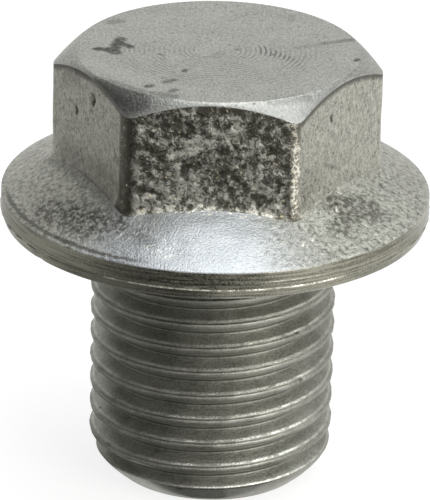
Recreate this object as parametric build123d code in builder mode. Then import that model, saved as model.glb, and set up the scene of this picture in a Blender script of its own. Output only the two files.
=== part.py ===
from build123d import *
from math import ceil, radians, sqrt, tan
import os

os.makedirs("parts", exist_ok=True)

# Oil drain plug: a flanged hexagon head on a short threaded shank, made in one piece.
# The origin is on the axis, in the plane of the flange's underside, which presses on the
# gasket. +Z runs up the axis, from the threaded end towards the head. Millimetres.

# Thread, right-handed, single start
thread_major_diameter = 11.8
thread_pitch = 1.25
thread_flank_angle = 30.0
first_crest_depth = 2.135

# Shank, with a lead of two tapers at its end and a relief under the flange
shank_length = 13.08
shank_end_diameter = 9.24
lead_length = 1.56
lower_taper_length = 0.7
lower_taper_top_diameter = 10.84
relief_undercut = 0.12
relief_length = 1.5
relief_shoulder_angle = 30.0

# Flange, whose seat is a flat ring with a shallow undercut inside it, so that a washer's
# hole clears the neck
flange_diameter = 20.48
rim_height = 1.33
seat_band_height = 0.43
seat_band_inset = 0.12
seat_inner_diameter = 12.4
seat_undercut = 0.25
flange_slope_angle = 28.0

# Hexagon head
across_flats = 13.72
hexagon_corner_radius = 0.75
head_height = 8.32
top_face_diameter = 13.41
chamfer_angle = 38.0

# Clearances that let one form run into or past the next before they are joined
run_in = 1.0
run_past = 0.4
ridge_foot_sink = 0.1

# The thread's basic profile, from the height of its sharp triangle
triangle_height = thread_pitch * sqrt(3) / 2
thread_depth = triangle_height * 5 / 8
major_radius = thread_major_diameter / 2
core_radius = major_radius - thread_depth
crest_half_width = thread_pitch / 16
flank_spread = tan(radians(thread_flank_angle))
ridge_foot_radius = core_radius - ridge_foot_sink
ridge_foot_half_width = crest_half_width + (major_radius - ridge_foot_radius) * flank_spread

# A crest passes the front, at -Y, at the first crest's depth, and +X a quarter pitch
# higher. From there the ridge goes down whole pitches until it is clear of the shank's end.
crest_at_x = thread_pitch / 4 - first_crest_depth
pitches_down = ceil((shank_length + crest_at_x + ridge_foot_half_width) / thread_pitch)
thread_start = crest_at_x - pitches_down * thread_pitch

# Outline of the shank
end_radius = shank_end_diameter / 2
lower_taper_radius = lower_taper_top_diameter / 2
upper_taper_length = lead_length - lower_taper_length
upper_taper_slope = upper_taper_length / (major_radius - lower_taper_radius)
clear_radius = major_radius + run_past
lead_top = -shank_length + lead_length + run_past * upper_taper_slope
relief_radius = core_radius - relief_undercut
shoulder_drop = (clear_radius - relief_radius) * tan(radians(relief_shoulder_angle))
shoulder_foot = -(relief_length + shoulder_drop)

# Outline of the flange
flange_radius = flange_diameter / 2
seat_edge_radius = flange_radius - seat_band_inset
seat_inner_radius = seat_inner_diameter / 2
slope_top_radius = across_flats / 2 - run_in
slope_rise = (flange_radius - slope_top_radius) * tan(radians(flange_slope_angle))
slope_top = rim_height + slope_rise

# Outline of the ring that the chamfer takes off the hexagon
top_face_radius = top_face_diameter / 2
chamfer_radius = across_flats / sqrt(3) + run_past
chamfer_drop = (chamfer_radius - top_face_radius) * tan(radians(chamfer_angle))


with BuildPart() as drain_plug:

    # The thread's ridge, wound up from below the end of the shank to the flange
    with BuildLine(Plane.XY.offset(thread_start)) as crest_helix:
        Helix(pitch=thread_pitch, height=-thread_start, radius=major_radius)
    ridge_plane = Plane(origin=(0, 0, thread_start), x_dir=(1, 0, 0), z_dir=(0, -1, 0))
    with BuildSketch(ridge_plane) as ridge_section:
        with BuildLine():
            Polyline(
                (ridge_foot_radius, -ridge_foot_half_width),
                (major_radius, -crest_half_width),
                (major_radius, crest_half_width),
                (ridge_foot_radius, ridge_foot_half_width),
                close=True,
            )
        make_face()
    sweep(is_frenet=True)

    # The core that carries the ridge, a pitch longer than it at each end
    with BuildSketch(Plane.XY.offset(thread_start - thread_pitch)) as core_section:
        Circle(core_radius)
    extrude(amount=2 * thread_pitch - thread_start)

    # Core and ridge are turned down together: the lead's two tapers at the end, and the
    # relief with its shoulder under the flange
    with BuildSketch(Plane.XZ) as shank_outline:
        with BuildLine():
            Polyline(
                (0, -shank_length),
                (end_radius, -shank_length),
                (lower_taper_radius, -shank_length + lower_taper_length),
                (clear_radius, lead_top),
                (clear_radius, shoulder_foot),
                (relief_radius, -relief_length),
                (relief_radius, 0),
                (0, 0),
                close=True,
            )
        make_face()
    revolve(axis=Axis.Z, mode=Mode.INTERSECT)

    # The flange: neck, undercut, flat seat, the turned band at its edge, the rim, and the
    # forged slope that rises to the head
    with BuildSketch(Plane.XZ) as flange_outline:
        with BuildLine():
            Polyline(
                (0, -relief_length / 2),
                (relief_radius, -relief_length / 2),
                (relief_radius, seat_undercut),
                (seat_inner_radius, 0),
                (seat_edge_radius, 0),
                (flange_radius, seat_band_height),
                (flange_radius, rim_height),
                (slope_top_radius, slope_top),
                (0, slope_top),
                close=True,
            )
        make_face()
    revolve(axis=Axis.Z)

    # The hexagon, with a flat to the front and a corner on the X axis
    with BuildSketch(Plane.XY.offset(rim_height / 2)) as hexagon:
        RegularPolygon(radius=across_flats / 2, side_count=6, major_radius=False)
        fillet(hexagon.vertices(), radius=hexagon_corner_radius)
    extrude(amount=head_height - rim_height / 2)

    # The chamfer that leaves the round top face
    with BuildSketch(Plane.XZ) as chamfer_outline:
        with BuildLine():
            Polyline(
                (top_face_radius, head_height),
                (chamfer_radius, head_height - chamfer_drop),
                (chamfer_radius, head_height + run_past),
                (top_face_radius, head_height + run_past),
                close=True,
            )
        make_face()
    revolve(axis=Axis.Z, mode=Mode.SUBTRACT)

drain_plug.part.label = "drain_plug"
export_step(drain_plug.part, "parts/drain_plug.step")
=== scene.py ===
"""Oil drain plug: a flanged hexagon head on a short threaded shank, in worn grey steel.

Everything is in metres in the plug's own frame: the origin is on the axis in the plane of
the flange's underside, and +Z runs up towards the head. Sizes below are in millimetres.
Azimuths run from the front, -Y, and are positive to the right, +X.
"""

import logging
import math
from dataclasses import dataclass
from enum import IntEnum

import bmesh
import bpy
from mathutils import Matrix, Vector, noise


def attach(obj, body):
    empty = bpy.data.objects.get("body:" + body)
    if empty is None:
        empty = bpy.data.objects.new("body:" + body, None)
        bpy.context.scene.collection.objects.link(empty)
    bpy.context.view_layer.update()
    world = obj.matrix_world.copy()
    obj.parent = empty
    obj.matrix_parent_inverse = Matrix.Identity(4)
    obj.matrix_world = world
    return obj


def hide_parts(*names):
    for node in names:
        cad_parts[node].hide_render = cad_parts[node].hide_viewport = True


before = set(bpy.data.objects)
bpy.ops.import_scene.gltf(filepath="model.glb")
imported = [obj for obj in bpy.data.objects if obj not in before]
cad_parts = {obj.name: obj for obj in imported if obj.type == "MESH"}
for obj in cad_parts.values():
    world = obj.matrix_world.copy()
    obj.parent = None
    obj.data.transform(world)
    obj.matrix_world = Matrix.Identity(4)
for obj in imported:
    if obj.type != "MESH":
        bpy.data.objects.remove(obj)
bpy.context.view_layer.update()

LOG = logging.getLogger("drain_plug")
MM = 0.001
SIDES = 6
SECTOR = math.tau / SIDES
FLOOR_HEIGHT = -13.1 * MM
CARD_HEIGHT = FLOOR_HEIGHT + 0.2 * MM
LAMP_POWER = 4.0  # Watts per square metre of lamp, at a radiance of 1

Place = tuple[float, float, float]
Colour = tuple[float, float, float, float]
Levels = tuple[float, ...]
Socket = bpy.types.NodeSocket


class Zone(IntEnum):
    """The material slot that each kind of surface takes its finish from."""

    TOP = 0
    FLATS = 1
    SLOPE = 2
    RIM = 3
    THREAD = 4


def between(a: float, b: float, t: float) -> float:
    """Value a share t of the way from a to b."""
    return a + (b - a) * t


def smooth(low: float, high: float, x: float) -> float:
    """Rises from 0 at low to 1 at high, level at both ends."""
    t = min(1.0, max(0.0, (x - low) / (high - low)))
    return t * t * (3 - 2 * t)


def arch(share: float) -> float:
    """Rises from 0 at a share of 0 to 1 at the middle, and falls to 0 at a share of 1."""
    return 4 * share * (1 - share)


def direction(azimuth: float, elevation: float) -> Vector:
    """Unit vector from the plug towards an azimuth and elevation in degrees."""
    turn, lift = math.radians(azimuth), math.radians(elevation)
    return Vector((math.sin(turn) * math.cos(lift), -math.cos(turn) * math.cos(lift), math.sin(lift)))


def verts_of(geometry: list) -> list[bmesh.types.BMVert]:
    """The vertices among a list of mesh parts."""
    return [part for part in geometry if isinstance(part, bmesh.types.BMVert)]


def all_parts(maker: bmesh.types.BMesh) -> list:
    """Every vertex, edge and face of a mesh."""
    return maker.verts[:] + maker.edges[:] + maker.faces[:]


def placed(name: str, data: bpy.types.ID) -> bpy.types.Object:
    """Puts a new object in the scene.

    Args:
        name: The object's name.
        data: Its mesh, lamp or camera.

    Returns:
        The object.
    """
    made = bpy.data.objects.new(name, data)
    bpy.context.scene.collection.objects.link(made)
    return made


def finished(name: str, maker: bmesh.types.BMesh) -> bpy.types.Object:
    """Puts an object with a finished mesh in the scene.

    Args:
        name: The object's name, which its mesh takes too.
        maker: The mesh's maker, which is freed.

    Returns:
        The object.
    """
    mesh = bpy.data.meshes.new(name)
    maker.to_mesh(mesh)
    maker.free()
    return placed(name, mesh)


def flat_sheet(width: float, height: float) -> bmesh.types.BMesh:
    """Starts a flat sheet that faces up, round the origin.

    Args:
        width: Its width in metres.
        height: Its height in metres.

    Returns:
        The mesh's maker.
    """
    maker = bmesh.new()
    bmesh.ops.create_grid(maker, x_segments=1, y_segments=1, size=0.5)
    bmesh.ops.scale(maker, vec=(width, height, 1), verts=maker.verts)
    return maker


def empty_tree(owner: bpy.types.ID) -> bpy.types.NodeTree:
    """Switches a material or a world to nodes, and clears them.

    Args:
        owner: The material or the world.

    Returns:
        Its node tree, empty.
    """
    owner.use_nodes = True
    owner.node_tree.nodes.clear()
    return owner.node_tree


@dataclass(frozen=True)
class HexagonOutline:
    """The rounded hexagon of the head, with corners on the X axis."""

    across_flats: float = 13.72
    corner_radius: float = 0.75
    corner_steps: int = 5
    flat_steps: int = 54

    def flat_half_angle(self) -> float:
        """Measures the flat half of a side.

        Returns:
            Angle from the flat's middle to where its corner's rounding starts, in radians.
        """
        inradius = self.across_flats / 2
        reach = (inradius - self.corner_radius) * math.tan(SECTOR / 2)
        return math.atan2(reach, inradius)

    def radius_at(self, angle: float) -> float:
        """Distance from the axis to the outline.

        Args:
            angle: Direction from the axis, in radians from +X.

        Returns:
            The radius in millimetres.
        """
        from_flat = abs((angle % SECTOR) - SECTOR / 2)
        if from_flat <= self.flat_half_angle():
            return self.across_flats / 2 / math.cos(from_flat)
        centre = (self.across_flats / 2 - self.corner_radius) / math.cos(SECTOR / 2)
        off = SECTOR / 2 - from_flat
        across = centre * math.sin(off)
        return centre * math.cos(off) + math.sqrt(self.corner_radius**2 - across**2)

    def spoke_angles(self) -> list[float]:
        """Spreads one sector's spokes: close at its two corners, even along its flat.

        Returns:
            Their angles in radians, from corner to corner.
        """
        rounding = SECTOR / 2 - self.flat_half_angle()
        reach = math.tan(self.flat_half_angle())
        angles = [rounding * i / self.corner_steps for i in range(self.corner_steps)]
        for i in range(self.flat_steps):
            angles.append(SECTOR / 2 + math.atan(between(-reach, reach, i / self.flat_steps)))
        for i in range(self.corner_steps, -1, -1):
            angles.append(SECTOR - rounding * i / self.corner_steps)
        return angles


@dataclass(frozen=True)
class Corner:
    """One corner of the head's section, with its rounding and its finish.

    The finish is that of the surface which runs from this corner to the next one.
    """

    radius: float
    height: float
    rounding: float
    arc_steps: int
    run_steps: int
    zone: Zone
    crown: float = 0.0


@dataclass(frozen=True)
class HeadSection:
    """The section of head and flange from the top's centre to the neck under the flange."""

    head_height: float = 8.32
    top_face_radius: float = 6.705
    chamfer_angle: float = 38.0
    chamfer_crown: float = 0.045
    top_edge_rounding: float = 0.06
    flat_edge_rounding: float = 0.06
    foot_rounding: float = 0.26
    slope_angle: float = 28.0
    flange_radius: float = 10.24
    rim_height: float = 1.33
    rim_edge_rounding: float = 0.07
    band_height: float = 0.43
    band_inset: float = 0.12
    burr: float = 0.03
    burr_reach: float = 0.07
    fine_rounding: float = 0.015
    seat_edge_rounding: float = 0.06
    seat_inner_radius: float = 6.2
    undercut: float = 0.25
    neck_radius: float = 5.1
    neck_rounding: float = 0.15
    neck_end: float = -0.9

    def edge_height(self, radius: float) -> float:
        """Height of the chamfer at a radius."""
        fall = math.tan(math.radians(self.chamfer_angle))
        return self.head_height - (radius - self.top_face_radius) * fall

    def slope_height(self, radius: float) -> float:
        """Height of the flange's slope at a radius."""
        return self.rim_height + (self.flange_radius - radius) * math.tan(math.radians(self.slope_angle))

    def corners(self, hexagon: float) -> list[Corner]:
        """Corners of the section along one spoke.

        Args:
            hexagon: Radius of the hexagon's outline along that spoke.

        Returns:
            The corners from the top's centre to the neck.
        """
        top, edge = self.head_height, self.edge_height(hexagon)
        rim, band, fine = self.flange_radius, self.band_height, self.fine_rounding
        return [
            Corner(0, top, 0, 1, 12, Zone.TOP),
            Corner(self.top_face_radius, top, self.top_edge_rounding, 3, 5, Zone.TOP, self.chamfer_crown),
            Corner(hexagon, edge, self.flat_edge_rounding, 4, 44, Zone.FLATS),
            Corner(hexagon, self.slope_height(hexagon), self.foot_rounding, 5, 26, Zone.SLOPE),
            Corner(rim, self.rim_height, self.rim_edge_rounding, 4, 7, Zone.RIM),
            Corner(rim, band + self.burr_reach, fine, 1, 2, Zone.RIM),
            Corner(rim + self.burr, band, fine, 2, 2, Zone.RIM),
            Corner(rim - self.burr, band - self.burr_reach, fine, 1, 3, Zone.RIM),
            Corner(rim - self.band_inset, 0, self.seat_edge_rounding, 3, 8, Zone.RIM),
            Corner(self.seat_inner_radius, 0, self.seat_edge_rounding, 2, 2, Zone.RIM),
            Corner(self.neck_radius, self.undercut, self.neck_rounding, 3, 3, Zone.THREAD),
            Corner(self.neck_radius, self.neck_end, 0, 1, 0, Zone.THREAD),
        ]

    def stations(self, hexagon: float) -> list[tuple[float, float, Zone]]:
        """Points of the section along one spoke, with the finish that starts at each.

        Args:
            hexagon: Radius of the hexagon's outline along that spoke.

        Returns:
            Radius, height and finish of each point, from the top's centre outwards.
        """
        corners = self.corners(hexagon)
        arcs = [[Vector((corners[0].radius, corners[0].height))]]
        for before, here, after in zip(corners, corners[1:], corners[2:]):
            arcs.append(self.rounded(before, here, after))
        arcs.append([Vector((corners[-1].radius, corners[-1].height))])
        points = []
        previous = corners[0].zone
        for corner, arc, following in zip(corners, arcs, arcs[1:] + [None]):
            points += [(point.x, point.y, previous) for point in arc[:-1]]
            points.append((arc[-1].x, arc[-1].y, corner.zone))
            previous = corner.zone
            if following:
                points += self.run(corner, arc[-1], following[0])
        return points

    def run(self, corner: Corner, start: Vector, end: Vector) -> list[tuple[float, float, Zone]]:
        """Points of the straight or slightly crowned run between two corners.

        Args:
            corner: The corner that the run starts from.
            start: The run's first point, which is left out.
            end: The run's last point, which is left out.

        Returns:
            Radius, height and finish of each point between them.
        """
        way = end - start
        outward = Vector((-way.y, way.x)).normalized()
        rise = corner.crown * min(1.0, way.length)
        points = []
        for step in range(1, corner.run_steps):
            share = step / corner.run_steps
            point = start + way * share + outward * rise * arch(share)
            points.append((point.x, point.y, corner.zone))
        return points

    def rounded(self, before: Corner, here: Corner, after: Corner) -> list[Vector]:
        """Arc that rounds one corner.

        Args:
            before: The corner before it.
            here: The corner to round.
            after: The corner after it.

        Returns:
            The arc's points in radius and height.
        """
        point = Vector((here.radius, here.height))
        back = (Vector((before.radius, before.height)) - point).normalized()
        ahead = (Vector((after.radius, after.height)) - point).normalized()
        opening = back.angle(ahead)
        cut = here.rounding / math.tan(opening / 2)
        centre = point + (back + ahead).normalized() * (here.rounding / math.sin(opening / 2))
        start, end = point + back * cut - centre, point + ahead * cut - centre
        step = -start.angle_signed(end) / here.arc_steps
        return [centre + Matrix.Rotation(step * i, 2) @ start for i in range(here.arc_steps + 1)]


@dataclass(frozen=True)
class ThreadForm:
    """The right-hand thread, with its lead at the end and the relief under the flange.

    Its crest is rolled: two rounded lips with a narrow fold between them.
    """

    major_radius: float = 5.905
    root_radius: float = 5.225
    pitch: float = 1.25
    flank_angle: float = 30.0
    crest_half_width: float = 0.19
    crest_softness: float = 0.07
    crest_crown: float = 0.07
    root_softness: float = 0.12
    fold_height: float = 0.13
    fold_reach: float = 0.035
    fold_depth: float = 0.016
    lip_height: float = 0.225
    upper_heights: Levels = (0.05, 0.09, 0.12, 0.14, 0.17, 0.2, 0.24, 0.28, 0.34, 0.43, 0.51, 0.57)
    lower_heights: Levels = (-0.57, -0.5, -0.42, -0.34, -0.28, -0.23, -0.18, -0.1)
    crest_at_x: float = -1.8225
    first_turn: int = -10
    turns: int = 12
    steps_per_turn: int = 180
    relief_radius: float = 5.1
    relief_end: float = -1.5
    shoulder_end: float = -1.96
    lead_top: float = -11.5
    lead_bottom: float = -13.02
    lead_end_radius: float = 4.69
    lead_crown: float = 0.2
    turning_softness: float = 0.03
    softened_reach: float = 0.3
    trim_top: float = -1.15
    trim_bottom: float = -12.96
    end_height: float = -13.08
    end_rounding: tuple[Levels, ...] = ((0.035, 0.075), (0.09, 0.035), (0.16, 0.008))
    end_rings: Levels = (0.93, 0.8, 0.65, 0.5, 0.35, 0.2, 0.1)
    middle: float = -6.0

    def profile_heights(self) -> list[float]:
        """Heights of the profile's points over one pitch, close at crest and root."""
        return [-self.pitch / 2, *self.lower_heights, 0.0, *self.upper_heights, self.pitch / 2]

    def ramp(self, x: float, softness: float) -> float:
        """A straight ramp that starts at 0, softened round its start.

        Args:
            x: Distance past the start.
            softness: How far the softening reaches.

        Returns:
            The ramp's height there.
        """
        t = x / softness
        bell = math.exp(-t * t / 2) / math.sqrt(2 * math.pi)
        share = 0.5 * (1 + math.erf(t / math.sqrt(2)))
        return softness * (t * share + bell)

    def radius_at(self, height: float) -> float:
        """Radius of the profile.

        Args:
            height: Height above the crest's middle, within half a pitch.

        Returns:
            The radius in millimetres.
        """
        spread = math.tan(math.radians(self.flank_angle))
        width = (self.major_radius - self.root_radius) * spread
        off = abs(height) - self.crest_half_width
        drop = self.ramp(off, self.crest_softness) - self.ramp(off - width, self.root_softness)
        fold = self.fold_depth * math.exp(-(((height - self.fold_height) / self.fold_reach) ** 2))
        crown = self.crest_crown * min(1.0, abs(height) / self.crest_half_width) ** 2
        return self.major_radius - fold - crown - drop / spread

    def envelope(self, height: float) -> float:
        """Finds the limit that the lead and the relief set.

        Args:
            height: Height on the shank.

        Returns:
            The largest radius there, infinite where nothing is turned.
        """
        if height > self.middle:
            share = (self.relief_end - height) / (self.relief_end - self.shoulder_end)
            return self.relief_radius + max(0.0, share) * (self.major_radius - self.relief_radius)
        share = (self.lead_top - height) / (self.lead_top - self.lead_bottom)
        if share <= 0:
            return math.inf
        return between(self.major_radius, self.lead_end_radius, share) + self.lead_crown * arch(share)

    def turned_down(self, radius: float, height: float) -> float:
        """Turns one point of the thread down to the lead and the relief.

        Args:
            radius: The point's radius.
            height: Its height.

        Returns:
            Its radius afterwards.
        """
        limit = self.envelope(height)
        soft = self.turning_softness
        if abs(limit - radius) > self.softened_reach:
            return min(limit, radius)
        return -soft * math.log(math.exp(-radius / soft) + math.exp(-limit / soft))


@dataclass(frozen=True)
class Spot:
    """A small dent at one place, with its reach and depth."""

    place: Place
    reach: float
    depth: float


@dataclass(frozen=True)
class Relief:
    """Fractal noise that lifts a surface: its depth, and its features per millimetre."""

    depth: float
    scale: float
    smoothness: float
    gap: float
    layers: int
    shift: Place = (0.0, 0.0, 0.0)

    def height(self, at: Vector) -> float:
        """Its height at a place."""
        place = at * self.scale + Vector(self.shift)
        return self.depth * noise.fractal(place, self.smoothness, self.gap, self.layers)


@dataclass(frozen=True)
class Wear:
    """How forging, turning and handling have left the plug's surfaces, in millimetres."""

    flat_wave: Relief = Relief(0.03, 0.5, 1.0, 2.1, 2, (3.1, 0, 0))
    front_relief: Relief = Relief(0.045, 2.5, 0.8, 2.0, 3)
    side_grain: Relief = Relief(0.01, 2.6, 0.9, 2.0, 3)
    side_grain_lift: float = 0.5
    slope_wave: Relief = Relief(0.03, 0.7, 1.0, 2.2, 2, (0, 7, 0))
    leather: Relief = Relief(0.03, 2.4, 0.9, 2.1, 2, (5, 0, 0))
    burr: Relief = Relief(0.045, 1.6, 1.0, 2.2, 3, (0, 0, 5))
    crest_wear: Relief = Relief(0.03, 1.9, 0.9, 2.3, 3, (0, 0, 11))
    foot_ragged: float = 0.05
    foot_ragged_scale: float = 2.2
    foot_ragged_top: Levels = (4.2, 3.0)
    foot_fill: float = 0.13
    foot_reach: float = 0.5
    foot_side: Levels = (0.4, 0.65)
    rim_wave: float = 0.008
    rim_wave_scale: Place = (0.5, 0.5, 7.0)
    rim_facing: float = -0.6
    top_facing: float = -0.5
    flat_facing: Levels = (0.75, 0.3)
    flat_top: Levels = (8.1, 7.4)
    slope_top: Levels = (7.0, 5.0)
    front_facing: Levels = (-0.75, -0.95)
    front_half: Levels = (3.9, 3.3)
    slope_edge: Levels = (0.1, 0.8)
    slope_side: Levels = (0.35, 0.6)
    calm_wave: float = 0.6
    calm_leather: float = 0.15
    crest_depth: Levels = (0.25, 0.02)
    dent_limit: float = 3.0
    dents: tuple[Spot, ...] = (
        Spot((-5.69, -3.87, 7.12), 0.17, 0.14),
        Spot((-6.54, -2.39, 6.01), 0.13, 0.1),
        Spot((5.45, -4.28, 6.77), 0.13, 0.1),
        Spot((7.88, -1.86, 2.47), 0.2, 0.08),
        Spot((-4.25, -3.95, -8.1), 0.2, 0.13),
        Spot((-3.7, -4.45, -7.85), 0.16, 0.09),
        Spot((4.13, -4.1, -4.31), 0.12, 0.07),
        Spot((3.45, -4.7, -5.37), 0.1, 0.06),
        Spot((4.34, -3.9, -6.88), 0.13, 0.07),
        Spot((-8.05, -6.33, 0.15), 0.25, 0.06),
        Spot((4.95, -5.35, 3.35), 0.3, 0.07),
        Spot((5.35, -4.75, 3.05), 0.26, 0.08),
        Spot((5.8, -4.25, 2.95), 0.26, 0.08),
        Spot((6.25, -3.9, 2.85), 0.28, 0.08),
        Spot((5.2, -5.6, 2.75), 0.26, 0.07),
        Spot((6.9, -3.7, 2.65), 0.3, 0.06),
    )

    def offset(
        self, at: Vector, normal: Vector, outline: HexagonOutline, head: HeadSection, form: ThreadForm
    ) -> float:
        """How far a point of the surface moves along its normal.

        Args:
            at: The point, in millimetres.
            normal: The surface's direction there.
            outline: The hexagon, for its foot.
            head: The section of head and flange, for its heights.
            form: The thread, for its heights.

        Returns:
            The move, outwards if positive.
        """
        radius = math.hypot(at.x, at.y)
        beside_rim = radius > head.flange_radius - 2 * head.band_inset and at.z < head.rim_height
        move = 0.0
        if at.z < form.relief_end:
            move = self.on_thread(at, radius, form)
        elif beside_rim and normal.z > self.rim_facing:
            move = self.on_rim(at, head)
        elif at.z > head.rim_height and normal.z > self.top_facing:
            flat = smooth(*self.flat_facing, normal.z)
            on_flat = flat * smooth(*self.flat_top, at.z) * self.on_flats(at, normal)
            move = on_flat + (1 - flat) * smooth(*self.slope_top, at.z) * self.on_slope(at, radius, head)
            move += self.at_foot(at, radius, outline, head)
        for dent in self.dents:
            gap = (at - Vector(dent.place)).length
            if gap < dent.reach * self.dent_limit:
                move -= dent.depth * math.exp(-((gap / dent.reach) ** 2))
        return move

    def at_foot(self, at: Vector, radius: float, outline: HexagonOutline, head: HeadSection) -> float:
        """Metal that fills the hexagon's foot all round, apart from the front.

        Args:
            at: The point, in millimetres.
            radius: Its distance from the axis.
            outline: The hexagon.
            head: The section of head and flange.

        Returns:
            How far it lifts the surface.
        """
        hexagon = outline.radius_at(math.atan2(at.y, at.x))
        away = math.hypot(radius - hexagon, at.z - head.slope_height(hexagon))
        side = smooth(*self.foot_side, abs(math.atan2(at.x, -at.y)))
        return self.foot_fill * side * math.exp(-((away / self.foot_reach) ** 2))

    def on_flats(self, at: Vector, normal: Vector) -> float:
        """Forging waves on every flat, with a coarse relief on the front one.

        Args:
            at: The point, in millimetres.
            normal: The surface's direction there.

        Returns:
            How far they lift the surface.
        """
        front = smooth(*self.front_facing, normal.y) * smooth(*self.front_half, abs(at.x))
        grain = self.side_grain.height(Vector((at.x, at.y, at.z * self.side_grain_lift)))
        ragged = self.foot_ragged * noise.noise(at * self.foot_ragged_scale)
        ragged *= smooth(*self.foot_ragged_top, at.z)
        return self.flat_wave.height(at) + between(grain, self.front_relief.height(at), front) + ragged

    def on_slope(self, at: Vector, radius: float, head: HeadSection) -> float:
        """A leathery skin at the sides of the slope, and gentle waves in front.

        Args:
            at: The point, in millimetres.
            radius: Its distance from the axis.
            head: The section of head and flange.

        Returns:
            How far they lift the surface.
        """
        edge, inside = self.slope_edge
        fade = smooth(head.flange_radius - edge, head.flange_radius - inside, radius)
        side = smooth(*self.slope_side, abs(math.atan2(at.x, -at.y)))
        wave = self.slope_wave.height(at) * between(self.calm_wave, 1.0, side)
        return fade * (wave + self.leather.height(at) * between(self.calm_leather, 1.0, side))

    def on_rim(self, at: Vector, head: HeadSection) -> float:
        """Uneven turning round the rim, and a burr that comes and goes along its band.

        Args:
            at: The point, in millimetres.
            head: The section of head and flange.

        Returns:
            How far they lift the surface.
        """
        x, y, z = self.rim_wave_scale
        turned = self.rim_wave * noise.noise(Vector((at.x * x, at.y * y, at.z * z)))
        near_band = math.exp(-(((at.z - head.band_height) / head.burr_reach) ** 2))
        return turned + near_band * self.burr.height(Vector((at.x, at.y, 0)))

    def on_thread(self, at: Vector, radius: float, form: ThreadForm) -> float:
        """Crests that are nibbled and slightly flattened.

        Args:
            at: The point, in millimetres.
            radius: Its distance from the axis.
            form: The thread.

        Returns:
            How far wear lifts the surface.
        """
        low, high = self.crest_depth
        on_crest = smooth(form.major_radius - low, form.major_radius - high, radius)
        return on_crest * self.crest_wear.height(at)


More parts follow.
